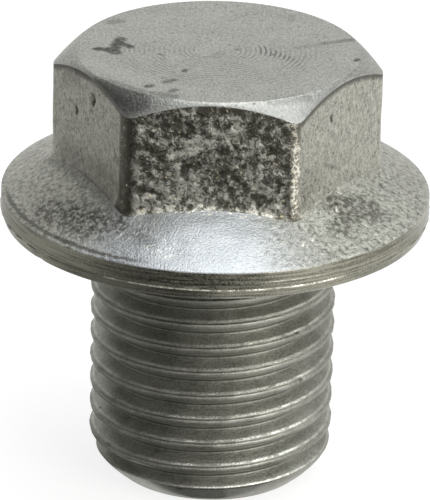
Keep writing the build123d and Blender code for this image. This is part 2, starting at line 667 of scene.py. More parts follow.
@dataclass
class DrainPlug:
    """The whole plug as one closed mesh, which stands for the CAD solid."""

    outline: HexagonOutline
    section: HeadSection
    form: ThreadForm
    wear: Wear
    name: str = "drain_plug_body"
    merge_gap: float = 0.004

    def build(self) -> bpy.types.Object:
        """Builds the mesh in millimetres, wears it, and brings it to metres.

        Returns:
            The plug's object, at the origin.
        """
        maker = bmesh.new()
        neck_ring = self.make_thread(maker)
        head_ring = self.make_head(maker)
        bmesh.ops.bridge_loops(maker, edges=neck_ring + head_ring)
        bmesh.ops.recalc_face_normals(maker, faces=maker.faces)
        self.set_zones(maker)
        self.apply_wear(maker)
        bmesh.ops.scale(maker, vec=(MM, MM, MM), verts=maker.verts)
        for face in maker.faces:
            face.smooth = True
        return finished(self.name, maker)

    def make_thread(self, maker: bmesh.types.BMesh) -> list[bmesh.types.BMEdge]:
        """Winds one turn of the profile, stacks its copies, turns lead and relief.

        Args:
            maker: The mesh to build in.

        Returns:
            The open ring of edges at the top of the shank.
        """
        form = self.form
        start = form.crest_at_x + form.first_turn * form.pitch
        chain = [maker.verts.new((form.radius_at(h), 0, start + h)) for h in form.profile_heights()]
        edges = [maker.edges.new(pair) for pair in zip(chain, chain[1:])]
        bmesh.ops.spin(
            maker,
            geom=chain + edges,
            cent=(0, 0, 0),
            axis=(0, 0, 1),
            dvec=(0, 0, form.pitch / form.steps_per_turn),
            angle=math.tau,
            steps=form.steps_per_turn,
            use_duplicate=False,
        )
        one_turn = all_parts(maker)
        for turn in range(1, form.turns):
            copy = bmesh.ops.duplicate(maker, geom=one_turn)["geom"]
            bmesh.ops.translate(maker, vec=(0, 0, turn * form.pitch), verts=verts_of(copy))
        bmesh.ops.remove_doubles(maker, verts=maker.verts, dist=self.merge_gap)
        for vert in maker.verts:
            radius = math.hypot(vert.co.x, vert.co.y)
            share = form.turned_down(radius, vert.co.z) / radius
            vert.co.x *= share
            vert.co.y *= share
        for height, facing in ((form.trim_top, 1), (form.trim_bottom, -1)):
            bmesh.ops.bisect_plane(
                maker,
                geom=all_parts(maker),
                plane_co=(0, 0, height),
                plane_no=(0, 0, facing),
                clear_outer=True,
            )
        bmesh.ops.remove_doubles(maker, verts=maker.verts, dist=self.merge_gap / 2)
        rings = [edge for edge in maker.edges if edge.is_boundary]
        self.close_end(maker, [edge for edge in rings if edge.verts[0].co.z < form.middle])
        return [edge for edge in rings if edge.verts[0].co.z > form.middle]

    def close_end(self, maker: bmesh.types.BMesh, ring: list[bmesh.types.BMEdge]) -> None:
        """Rounds the shank's end over and closes it with a turned face.

        Args:
            maker: The mesh to build in.
            ring: The open ring of edges above the end.
        """
        form = self.form
        low = form.end_height
        edge = form.envelope(form.trim_bottom)
        rings = [(edge - inset, low + lift) for inset, lift in form.end_rounding]
        rings += [(edge * share, low) for share in form.end_rings]
        for radius, height in rings:
            made = bmesh.ops.extrude_edge_only(maker, edges=ring)["geom"]
            ring = [part for part in made if isinstance(part, bmesh.types.BMEdge) and part.is_boundary]
            for vert in {vert for side in ring for vert in side.verts}:
                share = radius / math.hypot(vert.co.x, vert.co.y)
                vert.co = (vert.co.x * share, vert.co.y * share, height)
        made = bmesh.ops.extrude_edge_only(maker, edges=ring)["geom"]
        bmesh.ops.pointmerge(maker, verts=verts_of(made), merge_co=(0, 0, low))

    def make_head(self, maker: bmesh.types.BMesh) -> list[bmesh.types.BMEdge]:
        """Spins the section over one sector, presses it to the hexagon, and copies it round.

        Args:
            maker: The mesh to build in.

        Returns:
            The open ring of edges at the neck.
        """
        angles = self.outline.spoke_angles()
        steps = len(angles) - 1
        spokes = [self.section.stations(self.outline.radius_at(angle)) for angle in angles]
        station = maker.verts.layers.int.new("station")
        shank = set(maker.verts)
        chain = [maker.verts.new((radius, 0, height)) for radius, height, _ in spokes[0]]
        for number, vert in enumerate(chain):
            vert[station] = number + 1
        edges = [maker.edges.new(pair) for pair in zip(chain, chain[1:])]
        bmesh.ops.spin(
            maker,
            geom=chain + edges,
            cent=(0, 0, 0),
            axis=(0, 0, 1),
            angle=SECTOR,
            steps=steps,
            use_duplicate=False,
        )
        head = [vert for vert in maker.verts if vert not in shank]
        for vert in head:
            number = vert[station] - 1
            spoke = round(math.atan2(vert.co.y, vert.co.x) / SECTOR * steps) if number else 0
            radius, height, _ = spokes[spoke][number]
            vert.co = (radius * math.cos(angles[spoke]), radius * math.sin(angles[spoke]), height)
        one_sector = head + list({edge for vert in head for edge in vert.link_edges})
        one_sector += list({face for vert in head for face in vert.link_faces})
        for turn in range(1, SIDES):
            copy = verts_of(bmesh.ops.duplicate(maker, geom=one_sector)["geom"])
            turned = Matrix.Rotation(turn * SECTOR, 3, "Z")
            bmesh.ops.rotate(maker, cent=(0, 0, 0), matrix=turned, verts=copy)
            head += copy
        bmesh.ops.remove_doubles(maker, verts=head, dist=self.merge_gap)
        poles = [vert for vert in maker.verts if vert[station] == 1]
        bmesh.ops.pointmerge(maker, verts=poles, merge_co=(0, 0, self.section.head_height))
        last = len(chain)
        open_edges = [edge for edge in maker.edges if edge.is_boundary]
        return [edge for edge in open_edges if {vert[station] for vert in edge.verts} == {last}]

    def set_zones(self, maker: bmesh.types.BMesh) -> None:
        """Gives each face the slot of its surface.

        Args:
            maker: The mesh to mark.
        """
        station = maker.verts.layers.int["station"]
        zones = [zone for _, _, zone in self.section.stations(self.outline.radius_at(0))]
        for face in maker.faces:
            numbers = [vert[station] for vert in face.verts]
            face.material_index = Zone.THREAD if 0 in numbers else zones[min(numbers) - 1]

    def apply_wear(self, maker: bmesh.types.BMesh) -> None:
        """Moves each point along its normal by what wear has done there.

        Args:
            maker: The mesh to wear, in millimetres.
        """
        maker.normal_update()
        forms = (self.outline, self.section, self.form)
        moves = [self.wear.offset(vert.co, vert.normal, *forms) for vert in maker.verts]
        for vert, move in zip(maker.verts, moves):
            vert.co += vert.normal * move


@dataclass(frozen=True)
class Mark:
    """A stain, scratch, bare streak or patch of painted shade or highlight along a short line on the
    surface.
    """

    start: Place
    end: Place
    reach: float
    strength: float = 1.0


@dataclass(frozen=True)
class Pattern:
    """A noise of a finish, in features per millimetre, and the levels it is shown between.

    It shows as start where the noise is at low, and as end where it is at high.
    """

    scale: float
    detail: float = 3.0
    roughness: float = 0.55
    warp: float = 0.0
    stretch: Place = (1.0, 1.0, 1.0)
    low: float = 0.0
    high: float = 1.0
    start: float = 0.0
    end: float = 1.0


@dataclass(frozen=True)
class ToolLines:
    """Lines that a cutting tool left: how many in a millimetre, and how fast they drift."""

    scale: float
    detail: float = 3.0
    drift: float = 0.3
    roughness: float = 0.6


class NodeSheet:
    """A material's node tree, with short calls for the nodes that the finishes use."""

    BLOT = Pattern(3.2, 4, 0.7, 0.3)
    BROKEN = Pattern(5.0, 3, 0.7, low=0.36, high=0.5, start=0.55)
    GRAIN = Pattern(10.0, 1, 0.6, low=0.36, high=0.64)
    MIDDLE = 0.5
    MARK_CORE = 0.3
    ROUGHNESS_SWING = 0.1

    def __init__(self, name: str) -> None:
        """Starts a material with a metal shader and the place in millimetres.

        Args:
            name: The material's name.
        """
        self.material = bpy.data.materials.new(name)
        self.tree = empty_tree(self.material)
        self.shader = self.tree.nodes.new("ShaderNodeBsdfPrincipled")
        output = self.tree.nodes.new("ShaderNodeOutputMaterial")
        self.tree.links.new(self.shader.outputs["BSDF"], output.inputs["Surface"])
        coordinates = self.tree.nodes.new("ShaderNodeTexCoord")
        self.place = self.stretched((1 / MM, 1 / MM, 1 / MM), coordinates.outputs["Object"])
        parts = self.tree.nodes.new("ShaderNodeSeparateXYZ")
        self.tree.links.new(self.place, parts.inputs[0])
        self.x, self.y, self.z = (parts.outputs[axis] for axis in "XYZ")
        self.radius = self.span(self.x, self.y)
        self.azimuth = self.math("ARCTAN2", self.x, self.product(self.y, -1.0))
        self.blot = self.noise(self.BLOT)
        self.broken = self.shown(self.BROKEN)
        self.grain = self.shown(self.GRAIN)

    def fill(self, socket: Socket, value: object) -> None:
        """Links a socket to another, or sets its value.

        Args:
            socket: The socket to fill.
            value: Another node's output, or a plain value.
        """
        if isinstance(value, Socket):
            self.tree.links.new(value, socket)
        else:
            socket.default_value = value

    def math(self, operation: str, *values: object) -> Socket:
        """Adds a Math node.

        Args:
            operation: What it does.
            values: What it does it to.

        Returns:
            Its result.
        """
        made = self.tree.nodes.new("ShaderNodeMath")
        made.operation = operation
        for socket, value in zip(made.inputs, values):
            self.fill(socket, value)
        return made.outputs[0]

    def chained(self, operation: str, first: object, others: tuple[object, ...]) -> Socket:
        """Adds a row of Math nodes that do the same.

        Args:
            operation: What they do.
            first: The value that the row starts from.
            others: The values that join it one by one.

        Returns:
            The last one's result.
        """
        for other in others:
            first = self.math(operation, first, other)
        return first

    def product(self, first: object, *others: object) -> Socket:
        """Several values multiplied."""
        return self.chained("MULTIPLY", first, others)

    def total(self, first: object, *others: object) -> Socket:
        """Several values added."""
        return self.chained("ADD", first, others)

    def less(self, first: object, second: object) -> Socket:
        """One value less another."""
        return self.math("SUBTRACT", first, second)

    def most(self, first: object, *others: object) -> Socket:
        """The largest of several values."""
        return self.chained("MAXIMUM", first, others)

    def size(self, value: object) -> Socket:
        """A value without its sign."""
        return self.math("ABSOLUTE", value)

    def span(self, x: object, y: object) -> Socket:
        """Length of a line from its two sides."""
        return self.math("SQRT", self.total(self.product(x, x), self.product(y, y)))

    def steps(self, operation: str, a: object, b: object, output: int = 0) -> Socket:
        """Adds a Vector Math node.

        Args:
            operation: What it does.
            a: The first vector.
            b: The second vector, or the factor of a SCALE.
            output: The number of the output to give.

        Returns:
            Its result.
        """
        made = self.tree.nodes.new("ShaderNodeVectorMath")
        made.operation = operation
        self.fill(made.inputs[0], a)
        self.fill(made.inputs["Scale" if operation == "SCALE" else 1], b)
        return made.outputs[output]

    def vector(self, x: object, y: object, z: object) -> Socket:
        """Joins three values.

        Args:
            x: The vector's X.
            y: Its Y.
            z: Its Z.

        Returns:
            The vector.
        """
        made = self.tree.nodes.new("ShaderNodeCombineXYZ")
        for socket, value in zip(made.inputs, (x, y, z)):
            self.fill(socket, value)
        return made.outputs[0]

    def stretched(self, scale: Place, at: Socket) -> Socket:
        """Stretches a vector.

        Args:
            scale: How far it is stretched along each axis.
            at: The vector.

        Returns:
            The stretched vector.
        """
        made = self.tree.nodes.new("ShaderNodeMapping")
        self.fill(made.inputs["Vector"], at)
        made.inputs["Scale"].default_value = scale
        return made.outputs[0]

    def noise(self, pattern: Pattern, at: Socket | None = None) -> Socket:
        """A Noise Texture's value.

        Args:
            pattern: Its scale and make-up.
            at: Where it is read, the stretched place in millimetres if left out.

        Returns:
            Its value, near 0.5 on average.
        """
        made = self.tree.nodes.new("ShaderNodeTexNoise")
        self.fill(made.inputs["Vector"], at or self.stretched(pattern.stretch, self.place))
        made.inputs["Scale"].default_value = pattern.scale
        made.inputs["Detail"].default_value = pattern.detail
        made.inputs["Roughness"].default_value = pattern.roughness
        made.inputs["Distortion"].default_value = pattern.warp
        return made.outputs[0]

    def shown(self, pattern: Pattern, value: Socket | None = None) -> Socket:
        """A pattern between its levels, from its own noise or from one made before."""
        value = value or self.noise(pattern)
        return self.band(value, pattern.low, pattern.high, pattern.start, pattern.end)

    def lines(self, across: object, tool: ToolLines) -> Socket:
        """Draws tool lines: noise that changes fast across them and slowly along them.

        Args:
            across: A value in millimetres that changes only across the lines.
            tool: What the tool's lines are like.

        Returns:
            The noise's value.
        """
        along = [self.product(axis, tool.drift) for axis in (self.x, self.y)]
        at = self.vector(self.product(across, tool.scale), *along)
        return self.noise(Pattern(1.0, tool.detail, tool.roughness), at)

    def band(self, value: object, low: object, high: object, start: float = 0.0, end: float = 1.0) -> Socket:
        """Maps a value smoothly.

        Args:
            value: The value.
            low: Where the result is start.
            high: Where the result is end.
            start: The result at low and beyond it.
            end: The result at high and beyond it.

        Returns:
            The result, between start and end.
        """
        made = self.tree.nodes.new("ShaderNodeMapRange")
        made.interpolation_type = "SMOOTHSTEP"
        names = ("Value", "From Min", "From Max", "To Min", "To Max")
        for name, number in zip(names, (value, low, high, start, end)):
            self.fill(made.inputs[name], number)
        return made.outputs[0]

    def window(self, value: object, low: float, high: float, soft: float) -> Socket:
        """1 between low and high, and 0 from soft outside them on."""
        return self.product(self.band(value, low - soft, low), self.band(value, high + soft, high))

    def blend(self, share: object, first: object, second: object) -> Socket:
        """Mixes two colours.

        Args:
            share: How much of the second colour there is.
            first: The first colour.
            second: The second colour.

        Returns:
            The mixed colour.
        """
        made = self.tree.nodes.new("ShaderNodeMix")
        made.data_type = "RGBA"
        for number, value in ((0, share), (6, first), (7, second)):
            self.fill(made.inputs[number], value)
        return made.outputs[2]

    def wander(self, reach: float) -> Socket:
        """A blotchy value that swings by half a reach to either side of 0."""
        return self.product(self.less(self.blot, self.MIDDLE), reach)

    def gap(self, mark: Mark) -> Socket:
        """Measures how far the surface is from a mark.

        Args:
            mark: The mark.

        Returns:
            Distance to its middle line, in millimetres.
        """
        along = Vector(mark.end) - Vector(mark.start)
        away = self.steps("SUBTRACT", self.place, mark.start)
        share = self.steps("DOT_PRODUCT", away, along / max(along.length_squared, MM), output=1)
        held = self.math("MINIMUM", self.most(share, 0.0), 1.0)
        return self.steps("DISTANCE", away, self.steps("SCALE", tuple(along), held), output=1)

    def marks(self, marks: tuple[Mark, ...], ragged: float = 0.3) -> Socket:
        """How far marks cover the surface.

        Args:
            marks: The marks.
            ragged: How far their edges wander, in millimetres.

        Returns:
            From 0 off the marks to their strength on them.
        """
        wander = self.wander(ragged)
        covers = []
        for mark in marks:
            gap = self.total(self.gap(mark), wander)
            cover = self.band(gap, mark.reach, mark.reach * self.MARK_CORE)
            covers.append(self.product(cover, mark.strength))
        return self.product(self.most(*covers), self.broken)

    def bump(self, height: object, depth: float, below: object = None) -> Socket:
        """A Bump node.

        Args:
            height: The height value.
            depth: What a height of 1 is, in millimetres.
            below: Another bump that this one lies on.

        Returns:
            The bent normal.
        """
        made = self.tree.nodes.new("ShaderNodeBump")
        made.inputs["Strength"].default_value = 1.0
        made.inputs["Distance"].default_value = depth * MM
        self.fill(made.inputs["Height"], height)
        if below is not None:
            self.fill(made.inputs["Normal"], below)
        return made.outputs[0]

    def worn(self, mean: float, bare: Socket | None = None, polish: float = 0.0) -> Socket:
        """A roughness that varies with the grain.

        Args:
            mean: The roughness on average.
            bare: How bare the metal is, where some of it is.
            polish: How far bare metal lowers the roughness.

        Returns:
            The roughness.
        """
        low = mean - self.ROUGHNESS_SWING / 2
        rough = self.total(low, self.product(self.grain, self.ROUGHNESS_SWING))
        return self.less(rough, self.product(bare, polish)) if bare else rough

    def finish(
        self, colour: object, roughness: object, height: object, depth: float, grain_depth: float = 0.005
    ) -> bpy.types.Material:
        """Fills the metal shader.

        Args:
            colour: The metal's colour.
            roughness: Its roughness.
            height: The height value of its bump.
            depth: What a height of 1 is, in millimetres.
            grain_depth: How deep the grain on it is, in millimetres.

        Returns:
            The finished material.
        """
        normal = self.bump(self.grain, grain_depth, self.bump(height, depth))
        self.shader.inputs["Metallic"].default_value = 1.0
        self.fill(self.shader.inputs["Base Color"], colour)
        self.fill(self.shader.inputs["Roughness"], roughness)
        self.fill(self.shader.inputs["Normal"], normal)
        return self.material


@dataclass(frozen=True)
class TurnedFinish:
    """The head's faced top, with turning rings, chatter and stains, and its chamfer, which is painted darker
    in front as shade.
    """

    name: str = "turned_steel"
    steel: Colour = (0.285, 0.285, 0.258, 1)
    pale: Colour = (0.545, 0.545, 0.503, 1)
    # Painted shade: the chamfer takes these darker colours only towards the front.
    chamfer: Colour = (0.27, 0.27, 0.25, 1)
    pale_shaded_chamfer: Colour = (0.38, 0.38, 0.36, 1)
    groove: Colour = (0.15, 0.15, 0.135, 1)
    # Dark colour of the stains, and of painted shade at the chamfer's front-left.
    stain_and_shade: Colour = (0.06, 0.058, 0.05, 1)
    roughness: float = 0.4
    cloud: Pattern = Pattern(0.7, 4, 0.65, low=0.3, high=0.7, end=0.2)
    pores: Pattern = Pattern(1.0, 2, 0.8, stretch=(9, 5, 9), low=0.3, high=0.7, end=0.8)
    specks: Pattern = Pattern(4.5, 2, low=0.66, high=0.72, end=0.55)
    turning: ToolLines = ToolLines(7.0)
    turning_height: float = 0.5
    groove_height: float = 0.8
    relief: float = 0.014
    chamfer_start: float = 6.66
    chamfer_softness: float = 0.25
    chamfer_wander: float = 0.5
    chamfer_shade_side: Levels = (1.15, 0.85)
    ring_centre: float = -0.16
    ring_pitch: float = 0.235
    ring_crests: Levels = (-0.2, 0.9)
    ring_gaps: Pattern = Pattern(1.4, 2, low=0.35, high=0.6)
    ring_field: Levels = (1.3, 4.4, 0.7)
    ring_front: Levels = (1.5, -0.5)
    ring_shade: float = 0.5
    chatter_start: float = 2.2
    chatter_end: float = 5.0
    chatter_lead: float = 0.06
    chatter_turn: float = 0.2075
    chatter_half_length: float = 0.9
    chatter_core: float = 0.36
    chatter_taper: float = 0.22
    chatter_wander: float = 0.8
    chatter_run_in: float = 0.1
    chatter_softness: float = 0.15
    chatter_crests: Levels = (-0.1, 0.6)
    chatter_shade: float = 0.9
    stains_and_shade: tuple[Mark, ...] = (
        # Painted shade on the chamfer's front-left.
        Mark((-5.5, -4.5, 8.1), (-3.5, -6.3, 8.0), 0.9, 0.5),
        Mark((2.6, -6.3, 8.25), (4.3, -5.4, 8.2), 0.35, 0.3),
        Mark((-5.7, -0.35, 8.32), (-5.1, -0.4, 8.32), 0.36),
        Mark((-5.2, -0.35, 8.32), (-4.85, -0.7, 8.32), 0.46),
        Mark((-4.95, -0.5, 8.32), (-4.7, 1.05, 8.32), 0.44),
        Mark((-4.7, 0.55, 8.32), (-4.2, 0.1, 8.32), 0.34),
        Mark((-5.2, 3.3, 8.32), (-4.9, 3.5, 8.32), 0.45, 0.4),
        Mark((-1.51, -2.9, 8.32), (-1.45, -2.7, 8.32), 0.2, 0.8),
        Mark((-2.3, -4.3, 8.32), (-1.95, -4.1, 8.32), 0.3, 0.7),
        Mark((-3.15, -4.95, 8.32), (-2.95, -4.85, 8.32), 0.28, 0.9),
        Mark((-1.95, -5.5, 8.32), (-1.8, -5.3, 8.32), 0.25, 0.7),
        # These two darken the front-left edge of the top: painted shade.
        Mark((-2.8, -5.8, 8.3), (-1.9, -6.1, 8.3), 0.45, 0.5),
        Mark((-5.0, -4.5, 8.3), (-3.3, -5.75, 8.3), 0.5, 0.5),
        Mark((6.5, -0.8, 8.32), (6.6, -0.65, 8.32), 0.22, 0.9),
        Mark((-0.2, -0.9, 8.32), (0.1, -0.4, 8.32), 0.45, 0.25),
        Mark((-2.75, -0.75, 8.32), (-2.5, -0.9, 8.32), 0.16, 0.5),
        Mark((0.85, 0.2, 8.32), (0.95, 0.1, 8.32), 0.16, 0.5),
        Mark((3.65, 0.61, 8.32), (5.1, 1.4, 8.32), 0.26, 0.25),
        Mark((4.9, 1.3, 8.32), (6.29, 1.91, 8.32), 0.28, 0.5),
        Mark((3.4, 5.0, 8.32), (3.3, 4.2, 8.32), 0.3, 0.25),
    )

    def material(self) -> bpy.types.Material:
        """Builds the finish.

        Returns:
            Its material.
        """
        sheet = NodeSheet(self.name)
        off_centre = sheet.less(sheet.x, self.ring_centre)
        reach = sheet.span(off_centre, sheet.y)
        wave = sheet.math("SINE", sheet.product(reach, math.tau / self.ring_pitch))
        ring = sheet.product(sheet.band(wave, *self.ring_crests), sheet.shown(self.ring_gaps))
        field = sheet.product(sheet.window(reach, *self.ring_field), sheet.band(sheet.y, *self.ring_front))
        rings = sheet.product(ring, field, self.ring_shade)
        row = self.chatter(sheet, reach, off_centre)
        chatter = sheet.product(row, sheet.band(wave, *self.chatter_crests), sheet.broken)
        shade = sheet.total(sheet.shown(self.cloud), sheet.shown(self.pores))
        grooves = sheet.most(rings, sheet.product(chatter, self.chatter_shade))
        colour = sheet.blend(grooves, sheet.blend(shade, self.steel, self.pale), self.groove)
        edge = sheet.total(sheet.radius, sheet.wander(self.chamfer_wander))
        beyond = sheet.band(edge, self.chamfer_start, self.chamfer_start + self.chamfer_softness)
        # Painted shade: the chamfer is darker than the top only on its front half.
        shaded_front_chamfer = sheet.product(beyond, sheet.band(sheet.size(sheet.azimuth), *self.chamfer_shade_side))
        colour = sheet.blend(shaded_front_chamfer, colour, sheet.blend(shade, self.chamfer, self.pale_shaded_chamfer))
        stained_and_shaded = sheet.most(sheet.marks(self.stains_and_shade), sheet.shown(self.specks))
        colour = sheet.blend(stained_and_shaded, colour, self.stain_and_shade)
        turned = sheet.product(sheet.lines(reach, self.turning), self.turning_height)
        cut = sheet.less(turned, sheet.product(sheet.most(rings, chatter), self.groove_height))
        return sheet.finish(colour, sheet.worn(self.roughness), cut, self.relief)

    def chatter(self, sheet: NodeSheet, reach: Socket, off_centre: Socket) -> Socket:
        """Where short dark chatter arcs cross the rings, turning forwards as they go out.

        Args:
            sheet: The material's nodes.
            reach: Distance from the rings' centre.
            off_centre: The same distance along X.

        Returns:
            1 inside the row of arcs and 0 outside it.
        """
        turn = sheet.less(sheet.math("ARCTAN2", sheet.y, off_centre), self.chatter_lead)
        out = sheet.less(reach, self.chatter_start)
        aside = sheet.size(sheet.total(turn, sheet.product(out, self.chatter_turn)))
        beside = sheet.total(sheet.product(aside, reach), sheet.product(out, self.chatter_taper))
        uneven = sheet.total(beside, sheet.wander(self.chatter_wander))
        row = sheet.band(uneven, self.chatter_half_length, self.chatter_core)
        first = self.chatter_start - self.chatter_run_in
        return sheet.product(row, sheet.window(reach, first, self.chatter_end, self.chatter_softness))


@dataclass(frozen=True)
class FlatFinish:
    """Forged flats: dull grey at the sides, and in front a dark colour that is painted shade, with pale
    worm-like specks.
    """

    name: str = "forged_flat_steel"
    steel: Colour = (0.22, 0.217, 0.183, 1)
    pale: Colour = (0.575, 0.567, 0.49, 1)
    # Painted shade: the dark colour of the front flat only.
    shaded_scale: Colour = (0.095, 0.09, 0.07, 1)
    worm: Colour = (0.68, 0.67, 0.59, 1)
    glint: Colour = (0.85, 0.82, 0.7, 1)
    # Painted highlight: the colour of the sparkles on the front flat.
    sparkle_highlight: Colour = (0.85, 0.76, 0.5, 1)
    # Grime, and also painted shade in the pits.
    grime_and_shade: Colour = (0.06, 0.057, 0.045, 1)
    roughness: float = 0.38
    polish: float = 0.14
    relief: float = 0.04
    front_lean: float = 0.05
    front_start: Levels = (-6.35, -6.6)
    front_height: float = 0.7
    side_height: float = 0.8
    grain_share: float = 0.4
    upright: Pattern = Pattern(1.0, 5, 0.72, stretch=(4.2, 4.2, 2.8), low=0.34, high=0.66, end=0.5)
    winding: Pattern = Pattern(3.0, 4, 0.68, 0.55)
    specks: Pattern = Pattern(5.5, 2, low=0.59, high=0.68, end=0.65)
    sparkle_highlights: Pattern = Pattern(5.5, 2, low=0.66, high=0.72, end=0.9)
    chips: Pattern = Pattern(6.5, 2, 0.7, low=0.42, high=0.56, start=0.2)
    edge_grime: Levels = (0.46, 0.16, 0.0, 0.85)
    edge_wander: float = 0.12
    patches: Pattern = Pattern(1.2, 3, warp=0.4, low=0.36, high=0.64, start=-0.005, end=0.085)
    worm_grain: float = 0.05
    worm_middle: float = 6.5
    worm_fall: float = 0.012
    worm_lean: float = 0.004
    worm_levels: Levels = (0.48, 0.73)
    thin_levels: Levels = (0.4, 0.6, 0.0, 0.14)
    face_wander: float = 0.5
    face_edge: Levels = (4.1, 3.6, 0.1, 1.0)
    lighter_ragged: float = 1.2
    lighter: tuple[Mark, ...] = (
        Mark((1.0, -6.86, 6.9), (1.6, -6.86, 6.2), 0.7, 0.09),
        Mark((-1.7, -6.86, 5.9), (-0.3, -6.86, 6.5), 0.8, 0.05),
        Mark((-1.0, -6.86, 4.5), (-0.2, -6.86, 3.9), 0.9, 0.07),
        Mark((2.0, -6.86, 4.8), (3.0, -6.86, 4.0), 0.7, 0.05),
    )
    scratch_ragged: float = 0.2
    scratches: tuple[Mark, ...] = (Mark((0.47, -6.86, 6.89), (1.09, -6.86, 5.82), 0.1, 0.9),)
    bare_ragged: float = 0.5
    # Bare metal along the front-right corner, in the glint colour far paler than steel: a worn edge and a
    # painted highlight together.
    bare_glinting_edge: tuple[Mark, ...] = (
        Mark((3.8, -6.72, 6.3), (3.84, -6.7, 2.9), 0.3),
        Mark((3.78, -6.74, 7.6), (3.8, -6.72, 6.3), 0.18, 0.6),
    )
    pit_ragged: float = 0.12
    # The first three marks darken the pits round the dents: painted shade in their hollows. The last one
    # darkens the left flat towards its foot.
    shaded_pits_and_marks: tuple[Mark, ...] = (
        Mark((-5.69, -3.87, 7.25), (-5.69, -3.87, 6.95), 0.26),
        Mark((-6.54, -2.39, 6.1), (-6.54, -2.39, 5.9), 0.22),
        Mark((5.45, -4.28, 6.82), (5.45, -4.28, 6.7), 0.22),
        Mark((-4.64, -5.69, 5.6), (-4.4, -6.1, 4.9), 0.2, 0.4),
        Mark((-6.6, -2.3, 7.9), (-5.9, -3.5, 8.05), 0.24, 0.7),
        Mark((-7.1, -1.4, 7.3), (-6.5, -2.5, 7.7), 0.45, 0.35),
        Mark((5.2, -4.7, 4.6), (5.9, -3.5, 3.9), 0.14, 0.3),
        Mark((-4.6, -5.2, 3.5), (-6.8, -1.6, 3.2), 1.4, 0.42),
    )

    def material(self) -> bpy.types.Material:
        """Builds the finish.

        Returns:
            Its material.
        """
        sheet = NodeSheet(self.name)
        leaning = sheet.total(sheet.y, sheet.product(sheet.x, self.front_lean))
        front = sheet.band(leaning, *self.front_start)
        side = sheet.less(1.0, front)
        upright = sheet.noise(self.upright)
        winding = sheet.noise(self.winding)
        shade = sheet.total(sheet.product(sheet.grain, self.grain_share), sheet.shown(self.upright, upright))
        # The front flat alone is painted dark as shade, lighter towards its bottom and its left, where the
        # pale specks grow.
        shaded_front_face = sheet.blend(self.worms(sheet, winding), self.shaded_scale, self.worm)
        colour = sheet.blend(front, sheet.blend(shade, self.steel, self.pale), shaded_front_face)
        specks = sheet.product(sheet.shown(self.specks), side)
        colour = sheet.blend(sheet.most(sheet.marks(self.shaded_pits_and_marks, self.pit_ragged), specks), colour, self.grime_and_shade)
        colour = sheet.blend(sheet.product(self.under_edge(sheet), side), colour, self.grime_and_shade)
        bare = sheet.product(sheet.marks(self.bare_glinting_edge, self.bare_ragged), sheet.shown(self.chips))
        # Gold-white specks over the front flat: painted highlights of a sparkling surface.
        sparkle_highlights = sheet.product(sheet.shown(self.sparkle_highlights), front)
        colour = sheet.blend(sparkle_highlights, sheet.blend(bare, colour, self.glint), self.sparkle_highlight)
        rough = sheet.worn(self.roughness, sheet.most(bare, sparkle_highlights), self.polish)
        in_front = sheet.product(winding, front, self.front_height)
        height = sheet.total(in_front, sheet.product(upright, side, self.side_height))
        return sheet.finish(colour, rough, height, self.relief)

    def under_edge(self, sheet: NodeSheet) -> Socket:
        """Grime along the upper edge of the flats, where the chamfer starts.

        Args:
            sheet: The material's nodes.

        Returns:
            How dark the grime is.
        """
        head = HeadSection()
        fall = math.tan(math.radians(head.chamfer_angle))
        edge = sheet.less(head.head_height + head.top_face_radius * fall, sheet.product(sheet.radius, fall))
        below = sheet.total(sheet.less(edge, sheet.z), sheet.product(sheet.blot, self.edge_wander))
        return sheet.band(below, *self.edge_grime)

    def worms(self, sheet: NodeSheet, winding: Socket) -> Socket:
        """Pale winding specks that thicken in patches and leave the edges smooth.

        Args:
            sheet: The material's nodes.
            winding: The noise whose high places are the specks.

        Returns:
            From 0 on dark scale to 1 on a pale speck.
        """
        level = sheet.total(
            winding,
            sheet.shown(self.patches),
            sheet.marks(self.lighter, self.lighter_ragged),
            sheet.product(sheet.less(sheet.grain, sheet.MIDDLE), self.worm_grain),
            sheet.product(sheet.less(self.worm_middle, sheet.z), self.worm_fall),
            sheet.product(sheet.x, -self.worm_lean),
        )
        thin = sheet.band(level, *self.thin_levels)
        scratched = sheet.marks(self.scratches, self.scratch_ragged)
        pale = sheet.most(sheet.band(level, *self.worm_levels), thin, scratched)
        wandering = sheet.total(sheet.size(sheet.x), sheet.product(sheet.blot, self.face_wander))
        return sheet.product(pale, sheet.band(wandering, *self.face_edge))


